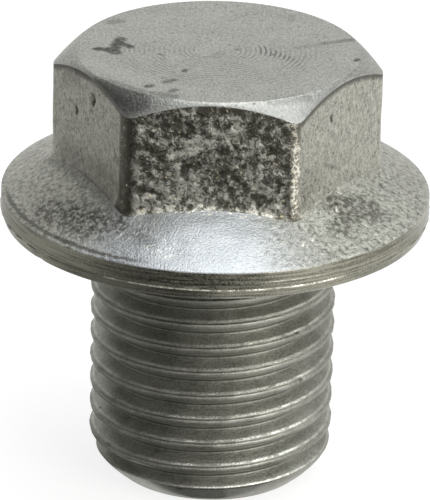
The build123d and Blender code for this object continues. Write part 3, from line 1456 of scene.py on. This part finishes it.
@dataclass(frozen=True)
class SlopeFinish:
    """The flange's forged slope: smooth in front, with a paler bluish colour there that is partly a painted
    reflection of the overhead lamp, and leathery at the sides.
    """

    name: str = "forged_slope_steel"
    steel: Colour = (0.21, 0.209, 0.178, 1)
    pale: Colour = (0.58, 0.577, 0.512, 1)
    smooth_steel_and_sheen: Colour = (0.43, 0.448, 0.468, 1)
    smooth_pale_and_sheen: Colour = (0.57, 0.575, 0.575, 1)
    glint: Colour = (0.85, 0.83, 0.76, 1)
    # Grime, and also painted shade along the rim line and in the front-left patches.
    grime_and_shade: Colour = (0.08, 0.077, 0.062, 1)
    roughness: float = 0.38
    polish: float = 0.14
    relief: float = 0.1
    calm: Levels = (0.0, 1.0, 0.05, 1.0)
    front_azimuth: float = -0.1
    front_wander: float = 0.35
    front_half: Levels = (0.78, 0.2)
    skin: Pattern = Pattern(4.2, 5, 0.7, 0.25, low=0.36, high=0.64, end=0.7)
    grain_share: float = 0.3
    crease_levels: Levels = (0.44, 0.34, 0.0, 0.45)
    mottle_levels: Levels = (0.6, 0.42, 0.3, 1.0)
    smooth_grain_share: float = 0.45
    blotches: Pattern = Pattern(1.1, 5, 0.65, low=0.4, high=0.62, end=0.25)
    specks: Pattern = Pattern(5.5, 3, 0.7, low=0.56, high=0.7, end=0.4)
    chips: Pattern = Pattern(4.5, 3, 0.7, low=0.5, high=0.6)
    rim_line_radius: float = 10.0
    rim_line_wander: float = 0.3
    rim_line_levels: Levels = (0.14, 0.04, 0.0, 0.75)
    rim_line_stretch: Levels = (-1.3, -0.42, 0.2)
    patch_ragged: float = 2.0
    patches: tuple[Mark, ...] = (
        # The first two patches darken the slope's front-left: painted shade.
        Mark((-6.3, -6.0, 2.1), (-5.4, -6.8, 2.05), 1.5, 0.95),
        Mark((-7.6, -5.0, 2.0), (-6.5, -6.0, 2.0), 1.3, 0.85),
        Mark((5.8, -5.0, 2.7), (7.4, -4.3, 2.2), 1.2, 0.9),
        Mark((6.0, -6.2, 2.15), (6.5, -5.7, 2.15), 0.9, 0.8),
        Mark((-4.9, -6.8, 2.35), (-4.1, -7.3, 2.3), 0.7, 0.8),
    )
    lines: tuple[Mark, ...] = (
        Mark((-3.98, -6.65, 2.75), (-4.5, -7.6, 2.1), 0.1, 0.8),
        Mark((3.99, -6.55, 2.75), (4.15, -7.3, 2.3), 0.09, 0.45),
        Mark((-3.6, -7.9, 2.15), (-2.7, -8.6, 2.0), 0.5, 0.35),
        Mark((7.88, -1.86, 2.47), (7.9, -1.8, 2.46), 0.2, 0.6),
        Mark((0.5, -8.0, 2.4), (0.6, -8.1, 2.3), 0.12, 0.5),
        Mark((1.2, -7.6, 2.6), (1.3, -7.7, 2.5), 0.1, 0.5),
        Mark((-4.4, -6.2, 2.8), (-5.9, -3.5, 3.1), 0.8, 0.4),
        Mark((-5.9, -3.5, 3.1), (-7.6, -0.6, 2.8), 0.7, 0.4),
    )
    glint_ragged: float = 0.5
    glints: tuple[Mark, ...] = (
        Mark((-3.5, -7.15, 2.95), (3.6, -7.1, 2.95), 0.22),
        Mark((4.4, -8.05, 1.9), (4.65, -7.6, 2.05), 0.22, 0.8),
        Mark((-3.9, -7.7, 2.2), (-2.0, -8.9, 1.9), 0.9, 0.45),
        Mark((-3.4, -7.3, 2.6), (-2.4, -7.6, 2.6), 0.5, 0.35),
        Mark((5.0, -6.3, 2.4), (5.9, -5.1, 2.5), 0.3, 0.7),
    )

    def material(self) -> bpy.types.Material:
        """Builds the finish.

        Returns:
            Its material.
        """
        sheet = NodeSheet(self.name)
        from_front = sheet.size(sheet.less(sheet.azimuth, self.front_azimuth))
        front = sheet.band(sheet.total(from_front, sheet.wander(self.front_wander)), *self.front_half)
        side = sheet.less(1.0, front)
        skin = sheet.noise(self.skin)
        shade = sheet.total(sheet.product(sheet.grain, self.grain_share), sheet.shown(self.skin, skin))
        smooth_grain = sheet.product(sheet.grain, self.smooth_grain_share)
        soft_shade = sheet.total(sheet.shown(self.blotches), smooth_grain)
        # The front's paler bluish colour is partly a painted reflection of the overhead lamp.
        in_front = sheet.blend(soft_shade, self.smooth_steel_and_sheen, self.smooth_pale_and_sheen)
        colour = sheet.blend(front, sheet.blend(shade, self.steel, self.pale), in_front)
        mottle = sheet.band(skin, *self.mottle_levels)
        dark = sheet.most(
            sheet.marks(self.lines),
            sheet.product(sheet.band(skin, *self.crease_levels), side),
            sheet.product(sheet.marks(self.patches, self.patch_ragged), mottle),
            sheet.product(sheet.shown(self.specks), front),
        )
        colour = sheet.blend(self.rim_shade_line(sheet), sheet.blend(dark, colour, self.grime_and_shade), self.grime_and_shade)
        bare = sheet.product(sheet.marks(self.glints, self.glint_ragged), sheet.shown(self.chips))
        colour = sheet.blend(bare, colour, self.glint)
        rough = sheet.worn(self.roughness, bare, self.polish)
        leather = sheet.product(skin, sheet.band(side, *self.calm))
        return sheet.finish(colour, rough, leather, self.relief)

    def rim_shade_line(self, sheet: NodeSheet) -> Socket:
        """A dark line just inside the rim's upper edge, at the left of the front: painted shade.

        Args:
            sheet: The material's nodes.

        Returns:
            How dark the line is.
        """
        off = sheet.size(sheet.less(sheet.radius, self.rim_line_radius))
        ragged = sheet.total(off, sheet.wander(self.rim_line_wander))
        stretch = sheet.window(sheet.azimuth, *self.rim_line_stretch)
        return sheet.product(sheet.band(ragged, *self.rim_line_levels), stretch)


@dataclass(frozen=True)
class BareGlintLine:
    """A bright line round the rim, between two azimuths in radians: bare metal, painted as a highlight where
    the light catches it.
    """

    height: float
    half_width: float
    start: float
    end: float


@dataclass(frozen=True)
class RimFinish:
    """Turning lines round the rim and the seat, with bare burrs along its edges painted as highlights, and
    painted light towards the left.
    """

    name: str = "turned_rim_steel"
    steel: Colour = (0.135, 0.13, 0.1, 1)
    pale: Colour = (0.36, 0.352, 0.285, 1)
    seat: Colour = (0.56, 0.56, 0.53, 1)
    glint: Colour = (0.85, 0.82, 0.7, 1)
    grime_and_shade: Colour = (0.06, 0.057, 0.042, 1)
    roughness: float = 0.31
    polish: float = 0.12
    relief: float = 0.02
    grain_depth: float = 0.003
    grain_share: float = 0.1
    turning: ToolLines = ToolLines(9.0)
    dark_turning: ToolLines = ToolLines(5.0, 2, 0.15)
    shade_levels: Levels = (0.36, 0.72)
    dark_levels: Levels = (0.42, 0.34, 0.0, 0.5)
    painted_light_left: Levels = (-0.1, -0.5, 0.0, 0.09)
    seat_top: Levels = (0.06, 0.02)
    specks: Pattern = Pattern(5.5, 2, low=0.67, high=0.72, end=0.25)
    chips: Pattern = Pattern(3.4, 3, 0.7, low=0.42, high=0.58, start=0.25)
    line_edge: float = 1.6
    line_core: float = 0.6
    line_softness: float = 0.12
    bare_glint_lines: tuple[BareGlintLine, ...] = (
        BareGlintLine(0.445, 0.035, -0.42, 0.58),
        BareGlintLine(0.8, 0.02, 0.32, 0.5),
        BareGlintLine(1.3, 0.04, 0.16, 0.5),
    )

    def material(self) -> bpy.types.Material:
        """Builds the finish.

        Returns:
            Its material.
        """
        sheet = NodeSheet(self.name)
        across = sheet.total(sheet.z, sheet.radius)
        fine = sheet.lines(across, self.turning)
        # Painted light: the rim is paler towards the left of the front.
        left = sheet.band(sheet.azimuth, *self.painted_light_left)
        shade = sheet.total(fine, left, sheet.product(sheet.grain, self.grain_share))
        colour = sheet.blend(sheet.band(shade, *self.shade_levels), self.steel, self.pale)
        colour = sheet.blend(sheet.band(sheet.z, *self.seat_top), colour, self.seat)
        dark = sheet.band(sheet.lines(across, self.dark_turning), *self.dark_levels)
        colour = sheet.blend(sheet.most(sheet.shown(self.specks), dark), colour, self.grime_and_shade)
        bare = sheet.product(self.bare(sheet), sheet.shown(self.chips))
        colour = sheet.blend(bare, colour, self.glint)
        rough = sheet.worn(self.roughness, bare, self.polish)
        return sheet.finish(colour, rough, fine, self.relief, self.grain_depth)

    def bare(self, sheet: NodeSheet) -> Socket:
        """Bare metal on the burr of the band, on a short line above it and on the top edge, each painted as
        a highlight between its azimuths.

        Args:
            sheet: The material's nodes.

        Returns:
            How bare the metal is.
        """
        covers = []
        for line in self.bare_glint_lines:
            off = sheet.size(sheet.less(sheet.z, line.height))
            cover = sheet.band(off, line.half_width * self.line_edge, line.half_width * self.line_core)
            stretch = sheet.window(sheet.azimuth, line.start, line.end, self.line_softness)
            covers.append(sheet.product(cover, stretch))
        return sheet.most(*covers)


@dataclass(frozen=True)
class ThreadFinish:
    """Cut thread: an olive-grey film, tool lines that follow the helix, painted shade in its folds, roots
    and crest lands, and bare crest lips painted bright as a highlight.
    """

    name: str = "cut_thread_steel"
    film: Colour = (0.19, 0.19, 0.16, 1)
    pale_film: Colour = (0.44, 0.44, 0.395, 1)
    # Painted highlight: the bare lip colour, far paler than steel.
    bare: Colour = (0.88, 0.86, 0.78, 1)
    # Painted shade in the fold, roots and crest land, and grime in the spots.
    grime_and_shade: Colour = (0.07, 0.068, 0.055, 1)
    roughness: float = 0.47
    polish: float = 0.22
    relief: float = 0.012
    tooling: ToolLines = ToolLines(13.0, drift=0.2)
    tooling_slant: float = 0.6
    tooling_share: float = 0.35
    grain_share: float = 0.4
    cloud: Pattern = Pattern(0.6, 4, 0.65, low=0.35, high=0.65, end=0.4)
    chips: Pattern = Pattern(1.6, 4, 0.75, low=0.4, high=0.56, start=0.3)
    past_lead: float = 0.5
    run_out: float = 0.2
    fold_half: float = 0.01
    fold_softness: float = 0.03
    fold_shade_side: Levels = (1.0, 0.3, 0.08, 0.8)
    root: Levels = (0.47, 0.57, 0.06)
    root_shade: float = 0.33
    land: Levels = (0.86, 0.96, 0.05)
    land_shade: float = 0.22
    lip_below: float = 0.016
    lip_above: float = 0.014
    lip_softness: float = 0.03
    lip_azimuth: float = 0.3
    lip_side: Levels = (1.1, 0.3, 0.25, 1.0)
    spot_ragged: float = 0.15
    spots: tuple[Mark, ...] = (
        Mark((4.13, -4.1, -4.31), (4.18, -4.05, -4.3), 0.13, 0.8),
        Mark((3.45, -4.7, -5.37), (3.5, -4.65, -5.36), 0.1, 0.7),
        Mark((4.34, -3.9, -6.88), (4.4, -3.85, -6.87), 0.13, 0.7),
        Mark((-5.35, -2.0, -9.66), (-5.3, -2.05, -9.6), 0.16, 0.7),
        Mark((-1.35, -5.45, -12.15), (-1.2, -5.5, -12.15), 0.14, 0.8),
        Mark((-4.3, -3.9, -8.1), (-3.3, -4.75, -7.7), 0.15, 0.6),
        Mark((1.6, -5.45, -10.03), (2.1, -5.3, -10.03), 0.25, 0.4),
    )

    def material(self) -> bpy.types.Material:
        """Builds the finish.

        Returns:
            Its material.
        """
        sheet = NodeSheet(self.name)
        form = ThreadForm()
        turn = sheet.math("DIVIDE", sheet.math("ARCTAN2", sheet.y, sheet.x), math.tau)
        height = sheet.math("DIVIDE", sheet.less(sheet.z, form.crest_at_x), form.pitch)
        wound = sheet.math("FRACT", sheet.less(height, turn))
        on_thread = sheet.window(sheet.z, form.lead_top - self.past_lead, form.shoulder_end, self.run_out)
        slanted = sheet.total(wound, sheet.product(sheet.radius, self.tooling_slant))
        tooling = sheet.lines(slanted, self.tooling)
        soft = sheet.total(sheet.shown(self.cloud), sheet.product(sheet.grain, self.grain_share))
        shade = sheet.total(sheet.product(tooling, self.tooling_share), soft)
        colour = sheet.blend(shade, self.film, self.pale_film)
        fold_at = form.fold_height / form.pitch
        fold = sheet.window(wound, fold_at - self.fold_half, fold_at + self.fold_half, self.fold_softness)
        # Painted shade: the fold below the lips, darkest in front, the roots, and the land under each crest.
        # The spots are nicks and dots.
        dark = sheet.most(
            sheet.marks(self.spots, self.spot_ragged),
            sheet.product(fold, on_thread, sheet.band(sheet.size(sheet.azimuth), *self.fold_shade_side)),
            sheet.product(sheet.window(wound, *self.root), on_thread, self.root_shade),
            sheet.product(sheet.window(wound, *self.land), on_thread, self.land_shade),
        )
        colour = sheet.blend(dark, colour, self.grime_and_shade)
        # Bare crest lips shown only towards the front right: a painted highlight.
        lip_at = form.lip_height / form.pitch
        lip = sheet.window(wound, lip_at - self.lip_below, lip_at + self.lip_above, self.lip_softness)
        lit_side = sheet.band(sheet.size(sheet.less(sheet.azimuth, self.lip_azimuth)), *self.lip_side)
        bare = sheet.product(lip, sheet.shown(self.chips), on_thread, lit_side)
        colour = sheet.blend(bare, colour, self.bare)
        rough = sheet.worn(self.roughness, bare, self.polish)
        return sheet.finish(colour, rough, tooling, self.relief)


@dataclass(frozen=True)
class Softbox:
    """One soft light: a flat lamp that faces the plug, unseen by the camera."""

    name: str
    azimuth: float
    elevation: float
    distance: float
    width: float
    height: float
    radiance: float
    tint: tuple[float, float, float]

    def build(self) -> None:
        """Places the lamp so that it shines on the plug."""
        lamp = bpy.data.lights.new(self.name, "AREA")
        lamp.shape = "RECTANGLE"
        lamp.size = self.width
        lamp.size_y = self.height
        lamp.energy = self.radiance * LAMP_POWER * self.width * self.height
        lamp.color = self.tint
        holder = placed(self.name, lamp)
        way = direction(self.azimuth, self.elevation)
        holder.location = way * self.distance
        holder.rotation_euler = way.to_track_quat("Z", "Y").to_euler()
        holder.visible_camera = False


@dataclass(frozen=True)
class Card:
    """A dull card that only reflections see, for the dark sides of the metal.

    Its place is in metres. It faces the plug, or straight up if it lies on the floor.
    """

    name: str
    place: Vector
    width: float
    height: float
    shade: float
    lying: bool = False

    def build(self) -> None:
        """Makes the card at its place."""
        maker = flat_sheet(self.width, self.height)
        if not self.lying:
            facing = self.place.to_track_quat("Z", "Y").to_matrix()
            bmesh.ops.rotate(maker, cent=(0, 0, 0), matrix=facing, verts=maker.verts)
        bmesh.ops.translate(maker, vec=self.place, verts=maker.verts)
        card = finished(self.name, maker)
        material = bpy.data.materials.new(self.name)
        tree = empty_tree(material)
        glow = tree.nodes.new("ShaderNodeEmission")
        glow.inputs["Color"].default_value = (self.shade, self.shade, self.shade, 1)
        output = tree.nodes.new("ShaderNodeOutputMaterial")
        tree.links.new(glow.outputs[0], output.inputs["Surface"])
        card.data.materials.append(material)
        card.visible_camera = False
        card.visible_diffuse = False
        card.visible_shadow = False
        card.visible_transmission = False


@dataclass(frozen=True)
class Studio:
    """Pale floor, white surroundings, soft lamps and dull cards."""

    floor_size: float = 3.0
    floor_paper: Colour = (0.8, 0.8, 0.8, 1)
    floor_shaded: Colour = (0.25, 0.25, 0.25, 1)
    floor_glow: float = 0.8
    surroundings: float = 0.8
    lamps: tuple[Softbox, ...] = (
        Softbox("overhead_softbox", 110, 74, 0.3, 0.32, 0.32, 1.5, (0.93, 0.975, 1.0)),
        Softbox("right_softbox", 47, 28, 0.35, 0.22, 0.1, 6.1, (1.0, 0.98, 0.93)),
    )
    cards: tuple[Card, ...] = (
        Card("front_floor_card", Vector((-0.0375, -0.069, CARD_HEIGHT)), 0.105, 0.092, 0.08, lying=True),
        Card("near_floor_card", Vector((-0.016, -0.0139, CARD_HEIGHT)), 0.034, 0.0182, 0.2, lying=True),
        Card("contact_card", Vector((0.004, -0.0062, CARD_HEIGHT)), 0.006, 0.0028, 0.4, lying=True),
        Card("left_floor_card", Vector((-0.055, 0.005, CARD_HEIGHT)), 0.07, 0.07, 0.54, lying=True),
        Card("near_left_card", Vector((-0.0124, 0.0015, CARD_HEIGHT)), 0.0152, 0.013, 0.3, lying=True),
        Card("front_left_card", direction(-58, 14) * 0.13, 0.2, 0.13, 0.3),
        Card("left_card", direction(-110, 18) * 0.15, 0.075, 0.12, 0.12),
        Card("upper_left_card", direction(-98, 56) * 0.16, 0.13, 0.1, 0.05),
        Card("upper_right_card", direction(140, 42) * 0.16, 0.085, 0.08, 0.3),
    )

    def build(self) -> None:
        """Builds the floor, the world, the lamps and the cards."""
        self.floor()
        self.world()
        for piece in self.lamps + self.cards:
            piece.build()

    def seen_share(self, tree: bpy.types.NodeTree) -> Socket:
        """Tells the rays that see the white studio from those that light the plug.

        Args:
            tree: The node tree that asks.

        Returns:
            1 for rays of the camera and of reflections, and 0 for all others.
        """
        path = tree.nodes.new("ShaderNodeLightPath")
        seen = tree.nodes.new("ShaderNodeMath")
        seen.operation = "MAXIMUM"
        tree.links.new(path.outputs["Is Camera Ray"], seen.inputs[0])
        tree.links.new(path.outputs["Is Glossy Ray"], seen.inputs[1])
        return seen.outputs[0]

    def floor(self) -> None:
        """Makes the floor: white to the camera and in reflections, with the plug's shadow."""
        maker = flat_sheet(self.floor_size, self.floor_size)
        bmesh.ops.translate(maker, vec=(0, 0, FLOOR_HEIGHT), verts=maker.verts)
        floor = finished("floor", maker)
        material = bpy.data.materials.new("pale_floor")
        tree = empty_tree(material)
        paper = tree.nodes.new("ShaderNodeBsdfDiffuse")
        paper.inputs["Color"].default_value = self.floor_paper
        shaded = tree.nodes.new("ShaderNodeBsdfDiffuse")
        shaded.inputs["Color"].default_value = self.floor_shaded
        glow = tree.nodes.new("ShaderNodeEmission")
        glow.inputs["Strength"].default_value = self.floor_glow
        white = tree.nodes.new("ShaderNodeAddShader")
        mix = tree.nodes.new("ShaderNodeMixShader")
        output = tree.nodes.new("ShaderNodeOutputMaterial")
        for start, end in (
            (self.seen_share(tree), mix.inputs[0]),
            (paper.outputs[0], mix.inputs[1]),
            (shaded.outputs[0], white.inputs[0]),
            (glow.outputs[0], white.inputs[1]),
            (white.outputs[0], mix.inputs[2]),
            (mix.outputs[0], output.inputs["Surface"]),
        ):
            tree.links.new(start, end)
        floor.data.materials.append(material)

    def world(self) -> None:
        """Makes the world: white where it is seen, and a plain level of light elsewhere."""
        world = bpy.data.worlds.new("surroundings")
        bpy.context.scene.world = world
        tree = empty_tree(world)
        level = tree.nodes.new("ShaderNodeMapRange")
        level.inputs["To Min"].default_value = self.surroundings
        back = tree.nodes.new("ShaderNodeBackground")
        output = tree.nodes.new("ShaderNodeOutputWorld")
        tree.links.new(self.seen_share(tree), level.inputs["Value"])
        tree.links.new(level.outputs[0], back.inputs["Strength"])
        tree.links.new(back.outputs[0], output.inputs["Surface"])


@dataclass(frozen=True)
class ViewCamera:
    """The camera, at the photograph's angle and distance."""

    place: Place = (4.935, -194.96, 82.87)
    aim: Place = (0.047, 0.001, -1.968)
    roll: float = 1.277
    lens: float = 318.15
    sensor: float = 36.0
    near: float = 0.01
    far: float = 10.0

    def build(self) -> None:
        """Makes the camera and gives it to the scene."""
        data = bpy.data.cameras.new("view")
        data.lens = self.lens
        data.sensor_width = self.sensor
        data.clip_start = self.near
        data.clip_end = self.far
        holder = placed("view", data)
        level = (Vector(self.place) - Vector(self.aim)).to_track_quat("Z", "Y").to_matrix()
        turned = level @ Matrix.Rotation(math.radians(self.roll), 3, "Z")
        holder.matrix_world = Matrix.Translation(Vector(self.place) * MM) @ turned.to_4x4()
        bpy.context.scene.camera = holder


def main() -> None:
    """Builds the plug, dresses it, and sets up studio and camera."""
    logging.basicConfig(level=logging.INFO, format="%(name)s: %(message)s")
    plug = DrainPlug(HexagonOutline(), HeadSection(), ThreadForm(), Wear()).build()
    for finish in (TurnedFinish(), FlatFinish(), SlopeFinish(), RimFinish(), ThreadFinish()):
        plug.data.materials.append(finish.material())
        LOG.info("%s: %s", plug.name, finish.name)
    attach(plug, "root")
    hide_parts("drain_plug")
    LOG.info("%s: %d triangles", plug.name, sum(len(face.vertices) - 2 for face in plug.data.polygons))
    Studio().build()
    ViewCamera().build()
    bpy.context.scene.view_settings.view_transform = "Standard"


if __name__ == "__main__":
    main()
